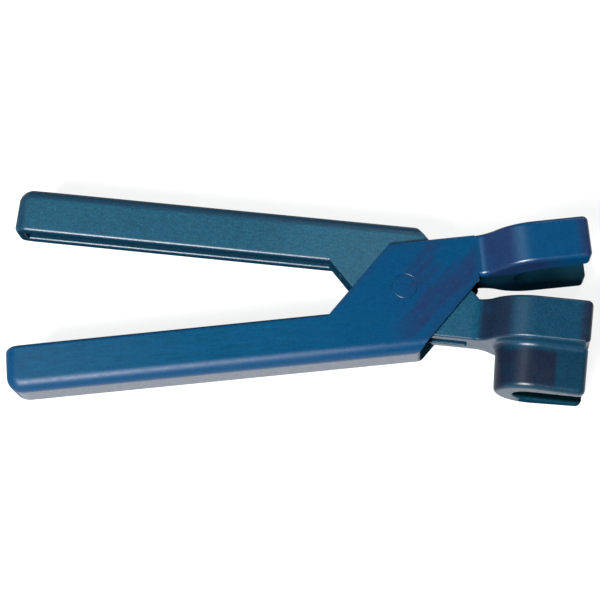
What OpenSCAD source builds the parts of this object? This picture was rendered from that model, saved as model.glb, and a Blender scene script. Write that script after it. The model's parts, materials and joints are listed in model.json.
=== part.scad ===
// Assembly pliers for ball-and-socket hose segments: two moulded halves on one flush pivot.
// Each half is drawn about the pivot with its handle and jaw parallel to X, then turned open.
// The finished part lies on its jaws: +Z is the pivot axis and +X points to the jaws.

/* [Pliers] */
// How far each half is turned from parallel when the pliers stand fully open
open_half = 6; // [4:0.5:6]
// Distance from the pivot to the back end of the handles
handle_len = 163.2; // [140:0.1:180]
// Distance from the pivot to the jaw tips
jaw_len = 74.5; // [74:0.5:78]
// Height of a handle, from its rim to its outer face
handle_h = 19.2; // [18.5:0.1:21]
// Distance from the pivot line to the rim of each handle
rim_offset = 7.9; // [7:0.1:8.5]

/* [Forked half] */
// Thickness of the forked half, over its two plates
fork_t = 20.5; // [20:0.1:22]
// Thickness of each fork plate
plate_t = 2.3; // [2:0.1:2.6]
// Thickness of the web that closes the fork ahead of the pivot
web_t = 3.2; // [2.5:0.1:4]

/* [Tongue half] */
// Free play between the tongue and each fork plate
side_play = 0.1; // [0.05:0.01:0.2]
// Wall of the handle channels
wall_t = 4.4; // [3.5:0.1:4.8]
// Length of the pocket under the tongue, ahead of the pivot
pocket_len = 26.5; // [16:0.5:27]

/* [Jaws] */
// Distance from the pivot to the axis of the cradles
seat_x = 53.5; // [53:0.1:54.5]
// Outer radius of the large cradles
cup_r = 21.5; // [20.5:0.1:22]
// Radius of the large seats
seat_r = 9; // [8:0.1:10]
// Opening angle of each side of a large seat towards the tips
flare = 6; // [3:0.5:7]
// Distance from the pivot line to each jaw face
face_offset = 1.3; // [1.1:0.1:1.6]
// Height of a jaw
jaw_h = 17.2; // [16:0.1:18]
// Outer radius of the small cradle under the lower jaw
small_cup_r = 15.2; // [14.5:0.1:16]
// Radius of the small seat
small_seat_r = 6.5; // [5.5:0.1:7]
// Height of the small cradle
small_h = 18.6; // [14:0.1:20]
// Opening angle of each side of the small seat towards the tips
small_flare = 0.5; // [0:0.5:3]
// Angle at which each side of the small cradle draws in towards the tips
draw_in = 8; // [6:0.5:9]

/* [Pivot] */
// Diameter of the flush heads
head_d = 10; // [9:0.1:11]
// Thickness of the flush heads
head_t = 1.2; // [1:0.1:1.4]
// Diameter of the post
post_d = 8; // [7:0.1:8.4]
// Radial running clearance between the post and the tongue
post_play = 0.05; // [0.03:0.01:0.08]
// Diameter of the plug's spigot
spigot_d = 5; // [4:0.1:5.4]
// Length of the plug's spigot
spigot_len = 9; // [6:0.5:12]

/* [Edges] */
// Radius of the long outer edge on the marked side
grip_r = 5.4; // [4:0.1:6]
// Radius of the long outer edge on the back
back_r = 3; // [2:0.1:4]
// Radius of the handle ends, seen from above
end_r = 6; // [4:0.5:7]
// Radius of the handle ends at the rim, seen from the side
rim_r = 2.6; // [1.5:0.1:3]
// Radius of the hollow corners where the jaws join the arms
neck_fillet = 3.5; // [2:0.1:4]
// Radius of the upper corner of each jaw tip, seen from the side
tip_r = 3; // [1.5:0.1:4]
// Radius of the corners of the jaw tips, seen along the cradles
tip_plan_r = 2.5; // [1.5:0.1:3]

/* [Hidden] */
$fn = 96;
eps = 0.01;
far = 60;
tongue_t = fork_t - 2 * (plate_t + side_play);
slot_t = tongue_t + 2 * side_play;
outer_y = rim_offset + handle_h;
jaw_top = face_offset + jaw_h;
// Both halves have 45 degree shoulders: these are where their lines cross the pivot line
rear_shoulder = 23;
fork_nose = 30.2;
tongue_nose = 28.7;
solid_x = 30;
low_tip_r = 1.6;
edge_r = 0.4;
stop_play = 0.25;
pocket_floor = 9;
over = 1;
// How far a straight side starts inside the round back it leaves, so that the two cross
bite = 0.03;
// Bounds of the open pliers about the pivot, from the rounded corners that reach furthest
min_x = (rim_r - handle_len) * cos(open_half) + (rim_offset + rim_r) * sin(open_half) - rim_r;
max_x = (jaw_len - low_tip_r) * cos(open_half) - (face_offset + low_tip_r) * sin(open_half) + low_tip_r;
max_y = (handle_len - end_r) * sin(open_half) + (outer_y - end_r) * cos(open_half) + end_r;
min_y = -(jaw_top + small_h) * cos(open_half) - jaw_len * sin(open_half);
pivot_at = [-(min_x + max_x) / 2, -(min_y + max_y) / 2, cup_r];

// A square with one corner rounded away: what it leaves is subtracted at a corner
module corner_cut(r, sx, sy) {
    difference() {
        translate([sx > 0 ? 0 : -r - eps, sy > 0 ? 0 : -r - eps])
            square(r + eps);
        circle(r);
    }
}

// A rectangle from [x0, y0] to [x1, y1] with radii for its four corners:
// low left, low right, high right, high left
module soft_rect(x0, y0, x1, y1, radii) {
    difference() {
        translate([x0, y0])
            square([x1 - x0, y1 - y0]);
        translate([x0 + radii[0], y0 + radii[0]])
            corner_cut(radii[0], -1, -1);
        translate([x1 - radii[1], y0 + radii[1]])
            corner_cut(radii[1], 1, -1);
        translate([x1 - radii[2], y1 - radii[2]])
            corner_cut(radii[2], 1, 1);
        translate([x0 + radii[3], y1 - radii[3]])
            corner_cut(radii[3], -1, 1);
    }
}

// An outline in X and Y, made into a plate of thickness t about the middle plane
module plate(t) {
    translate([0, 0, -t / 2])
        linear_extrude(t)
            children();
}

// An outline in X and Z, raised along Y from y0 to y1
module raised(y0, y1) {
    translate([0, y1, 0])
        rotate([90, 0, 0])
            linear_extrude(y1 - y0)
                children();
}

// Side outline of a handle, hub and arm, drawn with the handle above the pivot line
module side_outline(nose) {
    soft_rect(-handle_len, rim_offset, nose - outer_y, outer_y, [rim_r, edge_r, edge_r, end_r]);
    polygon([
        [-rear_shoulder - rim_offset, rim_offset],
        [jaw_top - rear_shoulder, -jaw_top],
        [seat_x - cup_r, -jaw_top],
        [seat_x - cup_r, -face_offset],
        [solid_x, -face_offset],
        [solid_x, nose - solid_x],
        [nose - outer_y, outer_y],
        [-rear_shoulder - rim_offset, outer_y]
    ]);
}

// What rounds the long outer edges and the end of a half of thickness t
module grip_envelope(t) {
    intersection() {
        rotate([90, 0, 90])
            translate([0, 0, -handle_len - eps])
                linear_extrude(handle_len + jaw_len)
                    soft_rect(-far, -t / 2, outer_y, t / 2, [edge_r, back_r, grip_r, edge_r]);
        raised(-far, far)
            soft_rect(-handle_len, -t / 2, jaw_len, t / 2, [end_r, edge_r, edge_r, end_r]);
    }
}

// What is cut away to round a tip corner next to a side that draws in; its origin is the
// centre of the rounding
module tip_cut(r, draw) {
    reach = r + over;
    difference() {
        polygon([[0, 0], [reach * sin(draw), reach * cos(draw)], [reach, reach], [reach, 0]]);
        circle(r);
    }
}

// Plan of a cradle: a round back and two sides that draw in towards the tips
module cup_plan(r, draw) {
    inside = draw > 0 ? bite : 0;
    tip = jaw_len - seat_x;
    back_half = r * cos(draw) - inside;
    tip_half = back_half - (tip - r * sin(draw)) * tan(draw);
    round_y = tip_half + tip_plan_r * (tan(draw) - 1 / cos(draw));
    translate([seat_x, 0])
        difference() {
            union() {
                circle(r);
                polygon([
                    [r * sin(draw), back_half],
                    [tip, tip_half],
                    [tip, -tip_half],
                    [r * sin(draw), -back_half]
                ]);
            }
            translate([tip, -r - over])
                square(2 * (r + over));
            for (flip = [0, 1])
                mirror([0, flip, 0])
                    translate([tip - tip_plan_r, round_y])
                        tip_cut(tip_plan_r, draw);
        }
}

// A seat for a hose segment, open towards the tips and cut from y0 to y1
module seat(r, widen, y0, y1) {
    tip = jaw_len - seat_x + over;
    back_half = r * cos(widen) - bite;
    tip_half = back_half + (tip + r * sin(widen)) * tan(widen);
    raised(y0, y1)
        translate([seat_x, 0]) {
            circle(r);
            polygon([
                [-r * sin(widen), back_half],
                [tip, tip_half],
                [tip, -tip_half],
                [-r * sin(widen), -back_half]
            ]);
        }
}

// Hollow corners that lead from an arm of half thickness a into a cradle of radius r
module neck_plan(a, r) {
    f = neck_fillet;
    back = sqrt((r + f) * (r + f) - (a + f) * (a + f));
    touch = r / (r + f);
    for (side = [-1, 1])
        difference() {
            polygon([
                [seat_x - back, 0],
                [seat_x - back, side * a],
                [seat_x - back * touch, side * (a + f) * touch],
                [seat_x, 0]
            ]);
            translate([seat_x - back, side * (a + f)])
                circle(f);
        }
}

// The large cradle on an arm of thickness t, below the pivot line, with tip radii for its
// outer edge and for its face
module large_cradle(t, outer_tip, face_tip) {
    intersection() {
        raised(-jaw_top, -face_offset) {
            cup_plan(cup_r, 0);
            neck_plan(t / 2, cup_r);
            translate([solid_x, -t / 2])
                square([seat_x - solid_x, t]);
        }
        plate(2 * cup_r + over)
            soft_rect(0, -jaw_top, jaw_len, -face_offset, [edge_r, outer_tip, face_tip, edge_r]);
    }
}

// The small cradle below the large one, carried up to fill the corner behind its tip radius
module small_cradle() {
    raised(-jaw_top - small_h, low_tip_r - jaw_top)
        cup_plan(small_cup_r, draw_in);
}

// The channel in the tongue half's handle, open at the rim, up to the hub's slanting end
module tongue_channel() {
    plate(tongue_t - 2 * wall_t)
        polygon([
            [-handle_len + wall_t, rim_offset - over],
            [-handle_len + wall_t, outer_y - wall_t],
            [-rear_shoulder - outer_y + wall_t, outer_y - wall_t],
            [-rear_shoulder - rim_offset, rim_offset],
            [-rear_shoulder - rim_offset, rim_offset - over]
        ]);
}

// The channel in the forked half's handle, which runs into the space between the plates
module fork_channel() {
    plate(fork_t - 2 * wall_t)
        translate([-handle_len + wall_t, wall_t - outer_y])
            square([handle_len - wall_t - rear_shoulder, handle_h - wall_t + over]);
}

// The space between the fork plates, and the web that the tongue stops against
module fork_slot() {
    difference() {
        plate(slot_t)
            polygon([
                [-rear_shoulder - jaw_top, far],
                [-rear_shoulder - jaw_top, wall_t - outer_y],
                [solid_x, wall_t - outer_y],
                [solid_x, far]
            ]);
        fork_web();
    }
}

// The web: its back end lies along the tongue's nose when the pliers are fully open
module fork_web() {
    nose_r = tongue_nose / sqrt(2);
    intersection() {
        rotate([0, 0, 45 - 2 * open_half])
            translate([nose_r + stop_play, -far, -fork_t])
                cube([far, 2 * far, 2 * fork_t]);
        translate([0, jaw_top - web_t, -fork_t])
            cube([far, web_t, 2 * fork_t]);
    }
}

// Bore or post of diameter d along the pivot axis, from z0 to z1
module along_pivot(d, z0, z1) {
    translate([0, 0, z0])
        cylinder(d = d, h = z1 - z0);
}

module fork_half() {
    color("royalblue")
        translate(pivot_at)
            rotate([0, 0, open_half])
                difference() {
                    mirror([0, 1, 0])
                        union() {
                            intersection() {
                                plate(fork_t)
                                    side_outline(fork_nose);
                                grip_envelope(fork_t);
                            }
                            large_cradle(fork_t, tip_r, low_tip_r);
                        }
                    fork_slot();
                    fork_channel();
                    seat(seat_r, flare, 0, jaw_top + over);
                    along_pivot(post_d, -fork_t, fork_t);
                    along_pivot(head_d, fork_t / 2 - head_t, fork_t);
                    along_pivot(head_d, -fork_t, head_t - fork_t / 2);
                }
}

module tongue_half() {
    color("steelblue")
        translate(pivot_at)
            rotate([0, 0, -open_half])
                difference() {
                    union() {
                        intersection() {
                            plate(tongue_t)
                                side_outline(tongue_nose);
                            grip_envelope(tongue_t);
                        }
                        large_cradle(tongue_t, low_tip_r, tip_r);
                        small_cradle();
                    }
                    tongue_channel();
                    tongue_pocket();
                    seat(seat_r, flare, -jaw_top, 0);
                    seat(small_seat_r, small_flare, -jaw_top - small_h - over, over - jaw_top);
                    along_pivot(post_d + 2 * post_play, -fork_t, fork_t);
                }
}

// The pocket under the tongue stops short of the pivot's boss and of its own two ends
module tongue_pocket() {
    plate(tongue_t - 2 * wall_t)
        polygon([
            [jaw_top - rear_shoulder + wall_t, -jaw_top - over],
            [pocket_floor - rear_shoulder + wall_t, -pocket_floor],
            [pocket_len, -pocket_floor],
            [pocket_len, -jaw_top - over]
        ]);
}

module pivot_post() {
    color("royalblue")
        translate(pivot_at)
            difference() {
                union() {
                    along_pivot(head_d, fork_t / 2 - head_t, fork_t / 2);
                    along_pivot(post_d, head_t - fork_t / 2, fork_t / 2);
                }
                along_pivot(spigot_d, -fork_t, head_t - fork_t / 2 + spigot_len + over);
            }
}

module pivot_plug() {
    color("royalblue")
        translate(pivot_at) {
            along_pivot(head_d, -fork_t / 2, head_t - fork_t / 2);
            along_pivot(spigot_d, -fork_t / 2, head_t - fork_t / 2 + spigot_len);
        }
}

fork_half();
tongue_half();
pivot_post();
pivot_plug();
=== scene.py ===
"""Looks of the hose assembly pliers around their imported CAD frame.

The two mouldings are rebuilt from signed distances, so that every edge gets its own moulded radius.
Each half is drawn in a frame of its own, in millimetres about the pivot: handle and jaw lie along X,
the handle above the pivot line and the jaw below it. The fork half is then mirrored in Y, and both
halves are turned open. Everything outside these two frames is in metres.
"""

import functools
import json
import math

import bpy
import numpy as np
from mathutils import Matrix, Vector


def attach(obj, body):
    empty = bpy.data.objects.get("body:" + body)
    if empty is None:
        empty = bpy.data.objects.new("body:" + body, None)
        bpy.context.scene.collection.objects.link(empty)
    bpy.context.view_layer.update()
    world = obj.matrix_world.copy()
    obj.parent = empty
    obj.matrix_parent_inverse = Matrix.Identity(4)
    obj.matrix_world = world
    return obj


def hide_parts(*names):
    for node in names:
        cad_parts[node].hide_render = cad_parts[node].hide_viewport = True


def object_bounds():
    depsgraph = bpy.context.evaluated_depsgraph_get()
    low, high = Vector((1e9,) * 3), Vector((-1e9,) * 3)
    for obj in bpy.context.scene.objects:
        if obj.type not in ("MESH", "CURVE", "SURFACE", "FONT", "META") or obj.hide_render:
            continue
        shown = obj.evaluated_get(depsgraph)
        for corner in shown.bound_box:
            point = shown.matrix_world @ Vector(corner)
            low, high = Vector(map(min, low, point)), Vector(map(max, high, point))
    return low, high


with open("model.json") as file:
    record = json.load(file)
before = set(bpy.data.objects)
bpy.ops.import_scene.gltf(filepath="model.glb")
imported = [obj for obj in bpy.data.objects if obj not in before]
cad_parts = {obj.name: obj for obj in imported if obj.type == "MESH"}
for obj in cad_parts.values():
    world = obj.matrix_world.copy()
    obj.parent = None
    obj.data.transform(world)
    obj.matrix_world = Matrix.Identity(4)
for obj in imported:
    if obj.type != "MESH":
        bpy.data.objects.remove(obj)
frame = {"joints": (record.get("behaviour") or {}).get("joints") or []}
cad_low, cad_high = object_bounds()

MM = 0.001
PIVOT = Vector(frame["joints"][0]["pos_m"])
ROOT2 = math.sqrt(2)

# ---------------------------------------------------------------- sizes of the pliers
OPEN_HALF = math.radians(6)     # turn of each half when fully open

HANDLE_END = -163.17            # end of the handle
HANDLE_ROOT = -15.0             # its other end, inside the hub
RIM = 7.9                       # height of the rim that looks at the other handle
OUTER = 27.08                   # height of the handle's outer side
WALL = 4.4                      # walls around the handles' channels and the pocket
CHANNEL_OPEN = 3.0              # how far the channel is cut past the rim

REAR = -23.0                    # x + y on the hub's slanting rear end
FORK_NOSE = 30.2                # x + y on the hub's slanting front end
TONGUE_NOSE = 28.7
SOLID_X = 30.0                  # where the hub's plates become one solid arm
ARM_ROOT = 5.0                  # where the arm starts, inside the hub
FORK_T = 20.5                   # thickness of the fork's hub and handle
TONGUE_T = 15.7
SLOT_T = 15.9                   # slot between the fork's plates
WEB_T = 3.2                     # web that joins the plates under the jaw
STOP_PLAY = 0.25                # between the web's slant and the tongue's nose, fully open

FACE = 1.3                      # depth of the jaw's face under the pivot line
JAW_TOP = 18.5                  # depth of the jaw's outer side
TIP = 74.5                      # end of the jaws
SEAT_X = 53.5                   # axis of the cradles
CUP_R = 21.5                    # large cradle, outside and seat
SEAT_R = 9.0
FLARE = math.radians(6)
SMALL_R = 15.2                  # small cradle, outside and seat
SMALL_SEAT_R = 6.5
SMALL_FLARE = math.radians(0.5)
SMALL_H = 18.6
SMALL_SUNK = 6.0                # how far it starts below the large cradle's face
SMALL_DRAW = math.radians(8)    # how its sides draw in towards the tips
SMALL_TAPER = 0.045             # how its outside draws in with depth

POCKET_FLOOR = -9.0             # pocket under the tongue
POCKET_END = 26.5

POST_R = 4.0
POST_PLAY = 0.05                # between the post and the tongue
HEAD_R = 5.0
HEAD_T = 1.2
HEAD_FIT_R = HEAD_R - 0.02      # the heads, a little smaller than their recesses
HEAD_SOFT = 0.3                 # rounding of a head's edge, and the flat ring just inside it
HEAD_RING = 0.1
SPIGOT_R = 2.5
SPIGOT_LEN = 9.0
LEAD_IN = 0.4                   # chamfers of the post and of the spigot

# ---------------------------------------------------------------- radii of the moulded edges
GRIP_FRONT_R, GRIP_BACK_R = 5.4, 3.0
FORK_END_R, TONGUE_END_R = 7.0, 6.0
RIM_R, RIM_END_MORE, RIM_END_LEN = 1.8, 0.8, 7.0        # rounder over a last stretch at the handle's end
HUB_SLANT_R, HUB_CORNER_R, HUB_BOTTOM_R = 0.55, 1.2, 0.9
ARM_FILLET_R, TIP_R = 3.5, 2.4
FORK_JAW_R, TONGUE_JAW_R = 1.8, 1.2
SMALL_EDGE_R = 2.2
SEAT_EDGE_R, SMALL_SEAT_EDGE_R = 0.8, 0.9
CHANNEL_EDGE_R, FORK_CHANNEL_R, TONGUE_CHANNEL_R = 1.3, 1.0, 0.8        # at the mouth, and inside
SLOT_EDGE_R, HEAD_EDGE_R = 0.4, 0.14
POCKET_EDGE_R, POCKET_R = 0.5, 0.8


# ---------------------------------------------------------------- signed distance tools
def meet(*parts):
    """Where all the parts are solid."""
    return functools.reduce(np.maximum, parts)


def round_off(a, b, r):
    """Where both a and b are solid, with the edge between them rounded to radius r."""
    return np.minimum(np.maximum(a, b), -r) + np.hypot(np.maximum(a + r, 0), np.maximum(b + r, 0))


def fill_in(a, b, r):
    """Where either is solid, with a hollow fillet of radius r between them."""
    return np.maximum(np.minimum(a, b), r) - np.hypot(np.maximum(r - a, 0), np.maximum(r - b, 0))


def cut_out(a, b, r):
    """Part a without b, with the edge of the opening rounded to radius r."""
    return round_off(a, -b, r)


def step(x, x0, x1):
    """Smooth change from 0 at x0 to 1 at x1."""
    t = np.clip((x - x0) / (x1 - x0), 0, 1)
    return t * t * (3 - 2 * t)


# ---------------------------------------------------------------- shape of the mouldings
def cup(x, z, r, draw):
    """Plan of a cradle without its tips: a round back, and sides that draw in."""
    px, pz = x - SEAT_X, np.abs(z)
    side = pz * math.cos(draw) + px * math.sin(draw) - r
    back = np.hypot(px, pz) - r
    return np.where(px * math.cos(draw) - pz * math.sin(draw) > 0, side, back)


def seat(x, z, r, widen):
    """Plan of a seat: a cup whose sides widen instead."""
    return cup(x, z, r, -widen)


def handle(x, y, slab, grip_r, end_r):
    """The handle, with its rim towards the other handle."""
    rim_r = RIM_R + RIM_END_MORE * (1 - step(x, HANDLE_END, HANDLE_END + RIM_END_LEN))
    body = round_off(HANDLE_END - x, y - OUTER, end_r)
    body = round_off(body, slab, grip_r)
    body = round_off(body, RIM - y, rim_r)
    return meet(body, x - HANDLE_ROOT)


def hub(x, y, slab, grip_r, nose):
    """The hub between its two slanting ends."""
    ends = meet((REAR - x - y) / ROOT2, (x + y - nose) / ROOT2)
    top = round_off(y - OUTER, slab, grip_r)
    bottom = round_off(-JAW_TOP - y, slab, HUB_BOTTOM_R)
    corners = round_off(y - OUTER, ends, HUB_CORNER_R)
    return meet(top, bottom, round_off(ends, slab, HUB_SLANT_R), corners, x - SOLID_X)


def small_cradle(x, y, z):
    """The cradle under the tongue's large one, which it reaches up into."""
    depth = np.clip(-JAW_TOP - y, 0, SMALL_H)
    body = cup(x, z, SMALL_R - SMALL_TAPER * depth, SMALL_DRAW)
    body = round_off(body, -JAW_TOP - SMALL_H - y, SMALL_EDGE_R)
    return meet(body, y + FACE + SMALL_SUNK)


def jaw(x, y, z, slab, fork):
    """Arm and cradles in one, with hollow corners where they meet, and the seats cut out."""
    arm = meet(slab, x - SEAT_X)
    plan = fill_in(cup(x, z, CUP_R, 0.0), arm, ARM_FILLET_R)
    level = np.abs(y + (FACE + JAW_TOP) / 2) - (JAW_TOP - FACE) / 2
    body = round_off(plan, level, FORK_JAW_R if fork else TONGUE_JAW_R)
    if not fork:
        body = fill_in(body, small_cradle(x, y, z), SMALL_EDGE_R)
    body = meet(body, ARM_ROOT - x)
    body = round_off(body, x - TIP, TIP_R)

    large_seat = seat(x, z, SEAT_R, FLARE)
    if fork:
        return cut_out(body, large_seat, SEAT_EDGE_R)
    body = cut_out(body, meet(large_seat, np.abs(y) - JAW_TOP), SEAT_EDGE_R)
    return cut_out(body, seat(x, z, SMALL_SEAT_R, SMALL_FLARE), SMALL_SEAT_EDGE_R)


def inset(z, thick, r, *sides):
    """A hollow between the walls of a part that thick, with its long edges rounded to radius r."""
    return round_off(meet(*sides), np.abs(z) - thick / 2 + WALL, r)


def hollow_fork(body, x, y, z):
    """The fork half's slot, handle channel, head recesses and bore."""
    turn = math.pi / 4 - 2 * OPEN_HALF
    stop = TONGUE_NOSE / ROOT2 + STOP_PLAY - x * math.cos(turn) + y * math.sin(turn)
    web = meet(y + JAW_TOP - WEB_T, stop)
    slot = meet(REAR - JAW_TOP - x, x - SOLID_X, y - OUTER + WALL, -web, np.abs(z) - SLOT_T / 2)
    channel = inset(z, FORK_T, FORK_CHANNEL_R, HANDLE_END + WALL - x, x - REAR, y - OUTER + WALL)
    channel = meet(channel, RIM - CHANNEL_OPEN - y)
    from_axis = np.hypot(x, y)
    head = meet(from_axis - HEAD_R, FORK_T / 2 - HEAD_T - np.abs(z))
    body = cut_out(body, slot, SLOT_EDGE_R)
    body = cut_out(body, channel, CHANNEL_EDGE_R)
    body = cut_out(body, head, HEAD_EDGE_R)
    return meet(body, POST_R - from_axis)


def hollow_tongue(body, x, y, z):
    """The tongue half's handle channel, pocket and bore."""
    channel = inset(z, TONGUE_T, TONGUE_CHANNEL_R,
                    HANDLE_END + WALL - x, x + y - REAR, y - OUTER + WALL)
    channel = meet(channel, RIM - CHANNEL_OPEN - y)
    pocket = inset(z, TONGUE_T, POCKET_R, REAR + WALL - x - y, x - POCKET_END, y - POCKET_FLOOR)
    body = cut_out(body, channel, CHANNEL_EDGE_R)
    body = cut_out(body, pocket, POCKET_EDGE_R)
    return meet(body, POST_R + POST_PLAY - np.hypot(x, y))


def half(x, y, z, fork):
    """Distance to the surface of one whole moulding."""
    if fork:
        thick, nose, end_r = FORK_T, FORK_NOSE, FORK_END_R
    else:
        thick, nose, end_r = TONGUE_T, TONGUE_NOSE, TONGUE_END_R
    slab = np.abs(z) - thick / 2
    grip_r = np.where(z > 0, GRIP_FRONT_R, GRIP_BACK_R)
    body = np.minimum(handle(x, y, slab, grip_r, end_r), hub(x, y, slab, grip_r, nose))
    body = np.minimum(body, jaw(x, y, z, slab, fork))
    return hollow_fork(body, x, y, z) if fork else hollow_tongue(body, x, y, z)


# ---------------------------------------------------------------- mesh from distances, in millimetres
GRID_PITCH, QUICK_PITCH = 0.42, 0.8
PLAIN_FROM, PLAIN_TO, PLAIN_PITCHES = -152.0, -56.0, 4      # the handles' plain stretch needs fewer points
GRID_X_LOW, GRID_X_HIGH = -164.6, 75.6
GRID_FORK_Y_LOW, GRID_TONGUE_Y_LOW, GRID_Y_HIGH = -19.6, -38.2, 28.2
GRID_Z = 22.6
SETTLE_ROUNDS = 4
LEAST_SLOPE = 0.25              # keeps the steps short where the distance is nearly level


def spaced(*stretches):
    """Grid lines from (start, end, pitch) stretches."""
    lines = [np.arange(a, b - pitch / 2, pitch) for a, b, pitch in stretches]
    return np.concatenate(lines + [[stretches[-1][1]]])


def surface_net(dist, xs, ys, zs):
    """Points and quads of the zero surface of dist on a rectilinear grid.

    Each cell that the surface passes through gets one point, the mean of the crossings on its edges,
    and each crossed edge gets one quad from the points of the four cells around it.
    """
    grid = dist(xs[:, None, None], ys[None, :, None], zs[None, None, :]).astype(np.float32)
    inside = grid < 0
    cells = np.array(grid.shape) - 1
    total = np.zeros(tuple(cells) + (3,), np.float32)
    count = np.zeros(tuple(cells), np.int16)
    lines = (xs, ys, zs)
    crossings = []
    for axis in range(3):
        near, far = [slice(None)] * 3, [slice(None)] * 3
        near[axis], far[axis] = slice(None, -1), slice(1, None)
        near, far = tuple(near), tuple(far)
        i, j, k = np.nonzero(inside[near] != inside[far])
        crossings.append((i, j, k, inside[near][i, j, k]))
        start, end = grid[near][i, j, k], grid[far][i, j, k]
        point = np.stack([xs[i], ys[j], zs[k]], 1).astype(np.float32)
        n = (i, j, k)[axis]
        point[:, axis] += start / (start - end) * (lines[axis][n + 1] - lines[axis][n])
        u, v = [other for other in range(3) if other != axis]
        for du, dv in ((0, 0), (0, 1), (1, 0), (1, 1)):
            cell = [i.copy(), j.copy(), k.copy()]
            cell[u] -= du
            cell[v] -= dv
            kept = np.all([(cell[a] >= 0) & (cell[a] < cells[a]) for a in range(3)], axis=0)
            cell = tuple(index[kept] for index in cell)
            np.add.at(total, cell, point[kept])
            np.add.at(count, cell, 1)
    used = count > 0
    number = np.full(used.shape, -1, np.int64)
    number[used] = np.arange(used.sum())
    points = total[used] / count[used][:, None]

    quads = []
    for axis, (i, j, k, starts_inside) in enumerate(crossings):
        u, v = (axis + 1) % 3, (axis + 2) % 3
        corners = []
        for du, dv in ((0, 0), (1, 0), (1, 1), (0, 1)):
            cell = [i.copy(), j.copy(), k.copy()]
            cell[u] -= du
            cell[v] -= dv
            corners.append(number[tuple(cell)])
        quad = np.stack(corners, 1)
        quad[~starts_inside] = quad[~starts_inside][:, ::-1]
        quads.append(quad)
    return points.astype(np.float64), np.concatenate(quads)


def slope(dist, points, reach=0.02):
    """Gradient of dist at the points."""
    gradient = np.empty_like(points)
    for axis in range(3):
        shift = np.zeros(3)
        shift[axis] = reach
        gradient[:, axis] = dist(*(points + shift).T) - dist(*(points - shift).T)
    return gradient / (2 * reach)


def settle(dist, points):
    """Move the points onto the zero surface of dist, by Newton's method."""
    for _ in range(SETTLE_ROUNDS):
        gradient = slope(dist, points)
        size = np.maximum((gradient * gradient).sum(1), LEAST_SLOPE)
        points -= gradient * (dist(*points.T) / size)[:, None]


def placed(name, data):
    """A new object in the scene with that mesh, light or camera."""
    made = bpy.data.objects.new(name, data)
    bpy.context.scene.collection.objects.link(made)
    return made


def moulding(name, fork):
    """The mesh object of one half, in its place in the pliers' frame."""
    def dist(x, y, z):
        return half(x, y, z, fork)

    pitch = GRID_PITCH
    xs = spaced((GRID_X_LOW, PLAIN_FROM, pitch), (PLAIN_FROM, PLAIN_TO, PLAIN_PITCHES * pitch),
                (PLAIN_TO, GRID_X_HIGH, pitch))
    ys = spaced((GRID_FORK_Y_LOW if fork else GRID_TONGUE_Y_LOW, GRID_Y_HIGH, pitch))
    zs = spaced((-GRID_Z, GRID_Z, pitch))
    points, quads = surface_net(dist, xs, ys, zs)
    settle(dist, points)
    normals = slope(dist, points)
    normals /= np.maximum(np.linalg.norm(normals, axis=1), 1e-6)[:, None]

    if fork:
        points[:, 1] *= -1
        normals[:, 1] *= -1
        quads = quads[:, ::-1]
    turn = np.array(Matrix.Rotation(OPEN_HALF if fork else -OPEN_HALF, 3, "Z"))
    points = points @ turn.T * MM + np.array(PIVOT)
    normals = normals @ turn.T

    mesh = bpy.data.meshes.new(name)
    mesh.from_pydata(points.tolist(), [], quads.tolist())
    mesh.validate()
    mesh.shade_smooth()
    mesh.normals_split_custom_set_from_vertices(normals.tolist())
    return placed(name, mesh)


fork_moulding = moulding("fork_moulding", True)
tongue_moulding = moulding("tongue_moulding", False)


# ---------------------------------------------------------------- pivot, turned pieces
def turned(name, profile, segments=96):
    """A closed solid of revolution about the pivot axis from (radius, height) points, in millimetres."""
    verts, faces, rows = [], [], []
    for r, h in profile:
        if r == 0:
            rows.append([len(verts)] * segments)
            verts.append(PIVOT + Vector((0, 0, h)) * MM)
            continue
        rows.append(list(range(len(verts), len(verts) + segments)))
        for s in range(segments):
            angle = 2 * math.pi * s / segments
            verts.append(PIVOT + Vector((r * math.cos(angle), r * math.sin(angle), h)) * MM)
    for lower, upper in zip(rows, rows[1:]):
        for s in range(segments):
            t = (s + 1) % segments
            ring = [lower[s], lower[t], upper[t], upper[s]]
            faces.append(list(dict.fromkeys(ring)))
    mesh = bpy.data.meshes.new(name)
    mesh.from_pydata(verts, [], faces)
    mesh.shade_smooth()
    mesh.set_sharp_from_angle(angle=math.radians(50))
    return placed(name, mesh)


def head_edge(h, up):
    """Points of a head's rounded edge, from just inside its face out to its side."""
    flat_r = HEAD_FIT_R - HEAD_SOFT
    points = [(flat_r - HEAD_RING, h)]
    for degrees in range(90, -1, -15):
        angle = math.radians(degrees)
        points.append((flat_r + HEAD_SOFT * math.cos(angle), h + up * HEAD_SOFT * (math.sin(angle) - 1)))
    return points


def pivot_pieces():
    """The headed post at the front, and the headed plug whose spigot goes up its bore."""
    face = FORK_T / 2
    shoulder = face - HEAD_T
    spigot_end = SPIGOT_LEN - shoulder
    post = (
        [(SPIGOT_R, -shoulder), (POST_R - LEAD_IN, -shoulder), (POST_R, LEAD_IN - shoulder),
         (POST_R, shoulder), (HEAD_FIT_R, shoulder)]
        + head_edge(face, 1)[::-1]
        + [(0, face)])
    plug = (
        [(0, -face)]
        + head_edge(-face, -1)
        + [(HEAD_FIT_R, -shoulder), (SPIGOT_R, -shoulder), (SPIGOT_R, spigot_end - LEAD_IN),
           (SPIGOT_R - LEAD_IN, spigot_end), (0, spigot_end)])
    return turned("pivot_post_turned", post), turned("pivot_plug_turned", plug)


post, plug = pivot_pieces()


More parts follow.
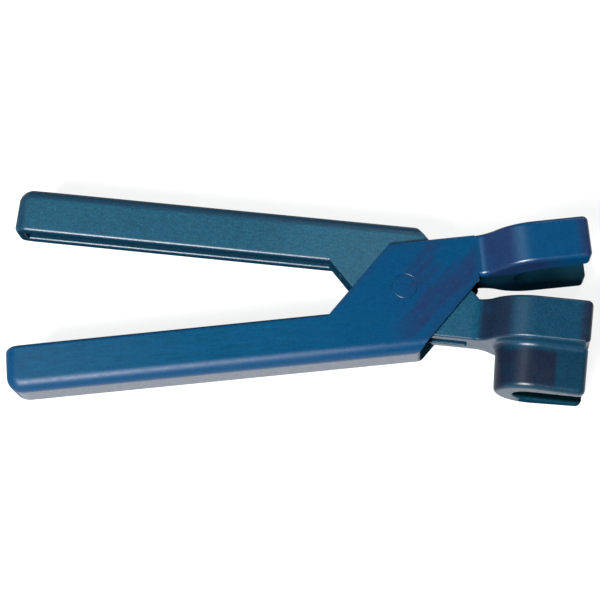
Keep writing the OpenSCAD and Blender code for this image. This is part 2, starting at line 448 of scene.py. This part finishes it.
# ---------------------------------------------------------------- node tree tools
class Tree:
    """Node tree of one half's plastic, which knows places and normals in the half's own frame."""

    def __init__(self, name, fork):
        self.material = bpy.data.materials.new(name)
        self.material.use_nodes = True
        self.material.node_tree.nodes.clear()
        self.fork = fork

        flip = Vector((1, -1 if fork else 1, 1))
        turn = (0, 0, OPEN_HALF)
        pivot = Matrix.Rotation(OPEN_HALF, 3, "Z") @ (PIVOT * flip)
        found = self.node("TexCoord", {}).outputs
        self.place = self.node("Mapping", {
            "Vector": found["Object"], "Location": -pivot / MM, "Rotation": turn,
            "Scale": flip / MM}).outputs[0]
        self.x, self.y, self.z = self.node("SeparateXYZ", {"Vector": self.place}).outputs
        normal = self.node("Mapping", {"Vector": found["Normal"], "Scale": flip, "Rotation": turn},
                           vector_type="VECTOR").outputs[0]
        self.normal_x, self.normal_y, self.normal_z = self.node("SeparateXYZ", {"Vector": normal}).outputs

    def feed(self, socket, value):
        """Link a socket to another node's output, or set its value."""
        if isinstance(value, bpy.types.NodeSocket):
            self.material.node_tree.links.new(value, socket)
        else:
            socket.default_value = value

    def node(self, kind, inputs, **settings):
        """A new shader node with those settings and inputs."""
        made = self.material.node_tree.nodes.new("ShaderNode" + kind)
        for key, value in settings.items():
            setattr(made, key, value)
        for key, value in inputs.items():
            self.feed(made.inputs[key], value)
        return made

    def calc(self, operation, a, b=0.0):
        return self.node("Math", {0: a, 1: b}, operation=operation).outputs[0]

    def unsigned(self, value):
        return self.calc("ABSOLUTE", value)

    def times(self, *values):
        """Product of values or masks."""
        return functools.reduce(lambda a, b: self.calc("MULTIPLY", a, b), values)

    def most(self, *values):
        """Largest of values or masks."""
        return functools.reduce(lambda a, b: self.calc("MAXIMUM", a, b), values)

    def ramp(self, source, start, end, at_start=0.0, at_end=1.0):
        """Straight change from at_start to at_end, held beyond them."""
        return self.node("MapRange", {"Value": source, "From Min": start, "From Max": end,
                                      "To Min": at_start, "To Max": at_end}).outputs["Result"]

    def band(self, source, start, full, fading, end):
        """Mask that rises from start to full and falls from fading to end."""
        return self.times(self.ramp(source, start, full), self.ramp(source, end, fading))

    def where(self, mask, off, on):
        """Value that goes from off to on with the mask."""
        return self.ramp(mask, 0, 1, off, on)

    def paint(self, mask, below, colour):
        """Colour below, covered with another one where the mask is."""
        return self.node("Mix", {"Factor": mask, 6: below, 7: (*colour, 1)}, data_type="RGBA").outputs[2]

    def noise(self, size, detail, roughness=0.55, length=1.0, turn=0.0, shift=(0, 0, 0)):
        """Noise with features of that size in millimetres, drawn out to length times it along X."""
        spot = self.node("Mapping", {
            "Vector": self.place, "Location": shift, "Scale": (size * length, size, size),
            "Rotation": (0, 0, turn)}, vector_type="TEXTURE").outputs[0]
        return self.node("TexNoise", {
            "Vector": spot, "Scale": 1.0, "Detail": detail, "Roughness": roughness}).outputs["Fac"]


# ---------------------------------------------------------------- where the looks change
# Fades are (start, end) and bands are (start, full, fading, end), in millimetres of a half's own frame.
# A ramp over a part of the normal picks the faces that look that way.
FLAT_NORMAL = (0.975, 0.999)                    # size of the normal's Z on a flat
NOISE = (0.3, 0.7)                              # range that most noise is in

# violet painted shade on the cradles' backs and tips, the jaw's lip and the hub's slanting ends; the fork
# hub's smear is its own
BACK_FADE = (9, 13)                             # from where the painted shade of a large cradle's back is full
SMALL_BACK_X = (39, 41, 61.5, 63)
SMALL_BACK_Y = (-36.5, -34.5, -22.5, -20.5)
TIPS_X, TIPS_Y = (69, 71.5), (-20, -18)
LIP_X, LIP_Z = (32, 35, 54, 66), (6, 9)         # front edge of the jaw's face
SMEAR_X = (-9, 6, 27, 33)
NOSE_EDGE, NOSE_EDGE_X = (FORK_NOSE - 4.0, FORK_NOSE - 0.5), (31, 29)   # x + y, along the slanting ends
REAR_EDGE, REAR_EDGE_Y = (REAR + 3.5, REAR + 0.5), (9, 7)

# painted shade, and unpolished faces
HOLLOW_X = (-160.5, -159.5, 31, 32)
HOLLOW_Y = (-17.9, -17.3, 25.0, 25.6)
GAP_X, GAP_Y, GAP_DARK_Z = (27, 30), (-6, -4), (9, 6)   # faces that the two jaws turn to each other
RIM_X = (-3, -4)                                # the handle's rim
FAR_LIP_X, FAR_LIP_Y, FAR_LIP_Z = (46, 50), (-34, -35.5), (-1, -3)      # back tip of the small cradle
CORNER_X = (28, 29, 33.5, 35)                   # hollow corner between the tongue's arm and its jaw
SLANT_X, SLANT_DARK_X = (-34, -31, 29, 31), (-5, 0)     # the hub's slanting ends
SEAT_TURN = (-JAW_TOP - 0.5, -JAW_TOP + 0.5)    # between the small seat and the large one
SEAT_MARGIN, SEAT_BLUR = 0.7, 0.4
LARGE_SEAT_END_X, SMALL_SEAT_DEPTH_Y = (61, 68), (-36.6, -35.6)

# changes of shade and gloss
BELOW_JAW_Y = (-20, -22)                        # the small cradle
UNDER_Y = (20, 24)                              # outer side of the fork's handle
GRIP_Y, GRIP_MATT_X = (12, 16), (-5, -40)
FORK_SHEEN_X, FORK_JAW_SHEEN_X = (-150, -80), (32, 38)
TONGUE_SHEEN_X, ARM_SHEEN_X, TONGUE_DIM_X = (-70, -15), (0, 15), (-40, -60)

# dark colour painted as shade in the hollows, on the rims, the slanting ends and the jaws' facing sides
HOLLOW_SHADE = (0.002, 0.012, 0.023)
# painted shade inside the seats: dark in the large one, less dark at its open end; lighter teal in the small
# one, near black deep inside
LARGE_SEAT_SHADE, LARGE_SEAT_END_SHADE = (0.002, 0.015, 0.025), (0.006, 0.027, 0.041)
SMALL_SEAT_SHADE, SMALL_SEAT_DEEP_SHADOW = (0.003, 0.026, 0.042), (0, 0.001, 0.001)


# ---------------------------------------------------------------- moulded plastic
def smear_and_shade_mask(t, flat, back_shade_from):
    """Violet painted shade on cradle backs, tips, lip and the hub's slanting ends, plus the fork hub's
    streaks.
    """
    start, full = back_shade_from
    # darker violet painted as shade on the cradles' curved backs, the small cradle's back and the tips
    places = [
        t.band(t.x, start, full, full + BACK_FADE[0], full + BACK_FADE[1]),
        t.times(t.band(t.x, *SMALL_BACK_X), t.band(t.y, *SMALL_BACK_Y)),
        t.times(t.ramp(t.x, *TIPS_X), t.ramp(t.y, *TIPS_Y))]
    if t.fork:
        streaks = t.noise(11, 5, 0.6, length=4.0, turn=math.radians(-40), shift=(-9, 4, 0))
        smear = t.times(t.ramp(streaks, 0.46, 0.59, 0.0, 0.95), t.band(t.x, *SMEAR_X))
        # painted shade along the fork hub's slanting ends; the smear is the hub's own streaks
        along = t.calc("ADD", t.x, t.y)
        nose = t.times(t.ramp(along, *NOSE_EDGE, 0.0, 0.8), t.ramp(t.x, *NOSE_EDGE_X))
        rear = t.times(t.ramp(along, *REAR_EDGE, 0.0, 0.6), t.ramp(t.y, *REAR_EDGE_Y))
        places.append(t.times(t.most(smear, nose, rear), flat))
    smear_and_shade = t.times(t.most(*places), t.ramp(t.unsigned(t.normal_y), 0.95, 0.75))
    # painted shade on the lip of the jaw's face, which turns to the other jaw
    lip = t.times(t.ramp(t.z, *LIP_Z), t.ramp(t.normal_y, 0.4, 0.8), t.band(t.x, *LIP_X))
    return t.times(t.most(smear_and_shade, lip), t.ramp(t.noise(9, 3), 0.25, 0.55, 0.7, 1.0))


def seat_shade_coats(t):
    """Mask of the insides of the seats, and the coats of painted shade that cover them."""
    large = t.ramp(t.y, *SEAT_TURN)
    past_axis = t.calc("SUBTRACT", t.x, SEAT_X)
    flare = t.times(t.most(past_axis, 0.0), large, math.tan(FLARE))
    reach = t.calc("ADD", t.where(large, SMALL_SEAT_R + SEAT_MARGIN, SEAT_R + SEAT_MARGIN), flare)
    behind = t.calc("MINIMUM", past_axis, 0.0)
    from_axis = t.calc("SQRT", t.calc("ADD", t.times(behind, behind), t.times(t.z, t.z)))
    in_seat = t.ramp(t.calc("SUBTRACT", from_axis, reach), SEAT_BLUR, -SEAT_BLUR)
    in_small = t.times(in_seat, t.ramp(large, 1, 0))
    # the large seat's painted shade lightens towards its open end, and goes near black deep in the small
    # seat
    large_end = t.ramp(t.x, *LARGE_SEAT_END_X, 0.0, 0.8)
    small_depth = t.ramp(t.y, *SMALL_SEAT_DEPTH_Y, 0.0, 0.9)
    return in_seat, [
        (in_seat, LARGE_SEAT_SHADE),
        (t.times(in_seat, large, large_end), LARGE_SEAT_END_SHADE),
        (in_small, SMALL_SEAT_SHADE),
        (t.times(in_small, small_depth), SMALL_SEAT_DEEP_SHADOW)]


def shaded_masks(t, cavity):
    """Faces painted dark as shade: hollows, rims, slanting ends, jaws' facing sides; and faces only
    unpolished.
    """
    hollow = t.times(t.ramp(t.unsigned(t.z), cavity + 0.06, cavity + 0.02),
                     t.band(t.y, *HOLLOW_Y), t.band(t.x, *HOLLOW_X))
    gap_face = t.times(t.ramp(t.normal_y, 0.60, 0.85), t.ramp(t.x, *GAP_X), t.ramp(t.y, *GAP_Y))
    rim_face = t.times(t.ramp(t.normal_y, -0.55, -0.80), t.ramp(t.x, *RIM_X))
    slant_face = t.times(t.ramp(t.unsigned(t.calc("ADD", t.normal_x, t.normal_y)), 1.15, 1.35),
                         t.band(t.x, *SLANT_X))
    # painted shade: the slanting ends, the jaws' facing sides low down, the rims and the hollows
    dark = t.most(t.times(slant_face, t.ramp(t.x, *SLANT_DARK_X, 0.4, 1.0)),
                  t.times(gap_face, t.ramp(t.z, *GAP_DARK_Z)),
                  t.times(t.most(rim_face, hollow), 0.8))

    end_face = t.ramp(t.normal_x, -0.3, -0.7, 0.0, 0.85)
    back_edge = t.ramp(t.times(t.normal_y, -1 if t.fork else 1), 0.25, 0.6, 0.0, 0.85)
    far_lip = t.times(t.ramp(t.z, *FAR_LIP_Z), t.ramp(t.x, *FAR_LIP_X), t.ramp(t.y, *FAR_LIP_Y))
    unpolished = [gap_face, rim_face, slant_face, end_face, back_edge, far_lip]
    if not t.fork:
        unpolished.append(t.times(t.band(t.x, *CORNER_X), t.ramp(t.normal_y, -0.6, -0.4), 0.9))
    return dark, t.most(*unpolished)


def flat_sheen(t):
    """How the specular level of the flats changes along the half, as they are rubbed."""
    if t.fork:
        return t.times(t.ramp(t.x, *FORK_SHEEN_X, 1.0, 0.35), t.ramp(t.x, *FORK_JAW_SHEEN_X, 1.0, 2.0))
    return t.times(t.ramp(t.x, *TONGUE_SHEEN_X, 0.55, 1.3), t.ramp(t.x, *ARM_SHEEN_X, 1.0, 0.45))


def plastic(name, fork, fresh, worn, smear_and_shade_tone, wear_span, back_shade_from, rough, speckle, rub_length,
            flat_gloss, cavity):
    """Material of one half.

    fresh and worn are base colours; the third is the violet of the painted shade, also used for the fork
    hub's own streaks.
    wear_span is where along the half fresh turns into worn.
    The argument after wear_span is where the painted shade of the large cradle's back sets in.
    rough is the roughness; speckle and rub_length shape the grain of the colour.
    flat_gloss is the specular level of the flats, and cavity is half the width of the hollows.
    """
    t = Tree(name, fork)

    # the flats of the handles are rubbed, in clouds; the jaws and the edges are not
    flat = t.ramp(t.unsigned(t.normal_z), *FLAT_NORMAL)
    cloud = t.ramp(t.noise(20, 3), 0.35, 0.65, -0.18, 0.18)
    wear = t.times(flat, t.ramp(t.calc("ADD", t.ramp(t.x, *wear_span), cloud), 0, 1))
    # violet painted shade on the jaws and the hub's ends, with the fork hub's own violet streaks
    smear_and_shade = smear_and_shade_mask(t, flat, back_shade_from)
    dark, unpolished = shaded_masks(t, cavity)
    in_seat, shade_coats = seat_shade_coats(t)
    colour = (*fresh, 1)
    # coats: real wear, then painted violet shade, painted dark shade, and the seats' painted shade
    for mask, coat in [(wear, worn), (smear_and_shade, smear_and_shade_tone), (dark, HOLLOW_SHADE)] + shade_coats:
        colour = t.paint(mask, colour, coat)

    # shades scale the colour and levels scale the gloss: fine grain everywhere, streaks where it is worn
    grain = t.ramp(t.noise(0.7, 2, 0.6), *NOISE, 1 - speckle, 1 + speckle)
    rub = t.ramp(t.noise(0.9, 3, 0.6, rub_length), *NOISE, 0.84, 1.16)
    shades = [grain, t.where(wear, 1.0, rub), t.ramp(t.y, *BELOW_JAW_Y, 1.0, 0.8)]
    levels = [t.where(t.most(unpolished, dark, in_seat), 1.0, 0.0),
              t.calc("ADD", t.where(flat, 0.5, 0.0), t.times(flat, flat_sheen(t), flat_gloss))]

    # the handles' long outer edges are more matt, and the fork's outer side has more gloss
    grip_edge = t.times(t.ramp(flat, 1, 0), t.ramp(t.y, *GRIP_Y), t.ramp(t.unsigned(t.normal_y), 0.96, 0.90))
    if fork:
        under = t.times(t.ramp(t.normal_y, 0.96, 1.0), t.ramp(t.y, *UNDER_Y))
        shades.append(t.where(under, 1.0, 0.6))
        levels += [t.where(under, 1.0, 1.8), t.where(grip_edge, 1.0, 0.62)]
    else:
        shades.append(t.where(t.times(wear, t.ramp(t.x, *TONGUE_DIM_X)), 1.0, 0.9))
    base = t.node("VectorMath", {0: colour, "Scale": t.times(*shades)}, operation="SCALE").outputs[0]

    polish = t.calc("ADD", t.where(wear, rough - 0.06, rough + 0.03),
                    t.times(grip_edge, t.ramp(t.x, *GRIP_MATT_X, 0.0, 0.14)))
    uneven = t.calc("ADD", polish, t.ramp(t.noise(2.5, 4), *NOISE, -0.04, 0.05))
    bump = t.node("Bump", {"Strength": 0.5, "Distance": 0.02 * MM, "Height": t.noise(1.0, 1, 0.5)})
    shader = t.node("BsdfPrincipled", {
        "Base Color": base, "Roughness": uneven, "IOR": 1.36, "Specular IOR Level": t.times(*levels),
        "Normal": bump.outputs[0]})
    t.node("OutputMaterial", {"Surface": shader.outputs[0]})
    return t.material


# the third colour of each half is the violet of its painted shade
satin = plastic(
    "satin_blue", True, fresh=(0.0010, 0.027, 0.071), worn=(0.0005, 0.031, 0.069),
    smear_and_shade_tone=(0.006, 0.0165, 0.049), wear_span=(0, -60), back_shade_from=(32.4, 34.0),
    rough=0.34, speckle=0.15, rub_length=8.0, flat_gloss=0.36, cavity=SLOT_T / 2)
matt = plastic(
    "matt_blue", False, fresh=(0.0022, 0.0225, 0.045), worn=(0.0050, 0.041, 0.069),
    smear_and_shade_tone=(0.005, 0.0100, 0.022), wear_span=(42, 8), back_shade_from=(30.6, 32.4),
    rough=0.40, speckle=0.30, rub_length=3.0, flat_gloss=0.5, cavity=TONGUE_T / 2 - WALL)

for piece, body, node_name, slot_name, finish in (
        (fork_moulding, "fork", "fork_half", "satin_blue", satin),
        (tongue_moulding, "tongue", "tongue_half", "matt_blue", matt),
        (post, "fork", "pivot_post", "pivot_blue", satin),
        (plug, "fork", "pivot_plug", "pivot_blue", satin)):
    piece.data.materials.append(finish)
    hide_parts(node_name)
    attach(piece, body)


# ---------------------------------------------------------------- floor, light and camera
def lay_floor(size=6, drop=0.0005, shade=0.15, glow=0.85):
    """A pale floor just under the pliers, with a little light of its own to keep its shadows pale."""
    bpy.ops.mesh.primitive_plane_add(size=size, location=(0, 0, cad_low.z - drop))
    floor = bpy.context.object
    floor.name = "floor"
    paper = bpy.data.materials.new("paper")
    paper.use_nodes = True
    inputs = paper.node_tree.nodes["Principled BSDF"].inputs
    inputs["Base Color"].default_value = (shade, shade, shade, 1)
    inputs["Emission Color"].default_value = (1, 1, 1, 1)
    inputs["Emission Strength"].default_value = glow
    inputs["Roughness"].default_value = 0.9
    floor.data.materials.append(paper)


def softbox(name, place, size, power):
    """A rectangular light that looks at the middle of the pliers."""
    light = bpy.data.lights.new(name, "AREA")
    light.shape = "RECTANGLE"
    light.size, light.size_y = size
    light.energy = power
    lamp = placed(name, light)
    lamp.location = place
    lamp.rotation_mode = "QUATERNION"
    lamp.rotation_quaternion = (-Vector(place)).to_track_quat("-Z", "Y")


def light_world(colour=(0.5, 0.75, 1, 1), strength=0.10):
    """A weak cool light from everywhere."""
    world = bpy.data.worlds.new("studio")
    world.use_nodes = True
    background = world.node_tree.nodes["Background"].inputs
    background["Color"].default_value = colour
    background["Strength"].default_value = strength
    bpy.context.scene.world = world


def set_camera(from_pivot, back, up, lens=105):
    """A camera at that place from the pivot's front face, with its own Z along back and its Y near up."""
    camera = bpy.data.cameras.new("camera")
    camera.sensor_width = 36
    camera.lens = lens
    camera.clip_start, camera.clip_end = 0.01, 20
    eye = placed("camera", camera)
    back = Vector(back).normalized()
    up = Vector(up)
    up = (up - back * up.dot(back)).normalized()
    turn = Matrix((up.cross(back), up, back)).transposed()
    pivot_face = PIVOT + Vector((0, 0, FORK_T / 2 * MM))
    eye.matrix_world = Matrix.Translation(pivot_face + Vector(from_pivot)) @ turn.to_4x4()
    bpy.context.scene.camera = eye


lay_floor()
softbox("key", place=(-0.40, -0.67, 1.03), size=(0.50, 0.50), power=54)
softbox("left", place=(-0.60, 0.38, 1.12), size=(0.26, 0.80), power=1.7)
softbox("rear", place=(0.50, 0.95, 0.70), size=(0.80, 0.40), power=7)
light_world()
bpy.context.scene.view_settings.view_transform = "Standard"

# 70 cm from the pivot's front face, above it and somewhat towards -Y
set_camera(from_pivot=(0.00607, -0.19473, 0.67367), back=(0.06841, -0.26943, 0.96059),
           up=(0.0, 0.96285, 0.27006))
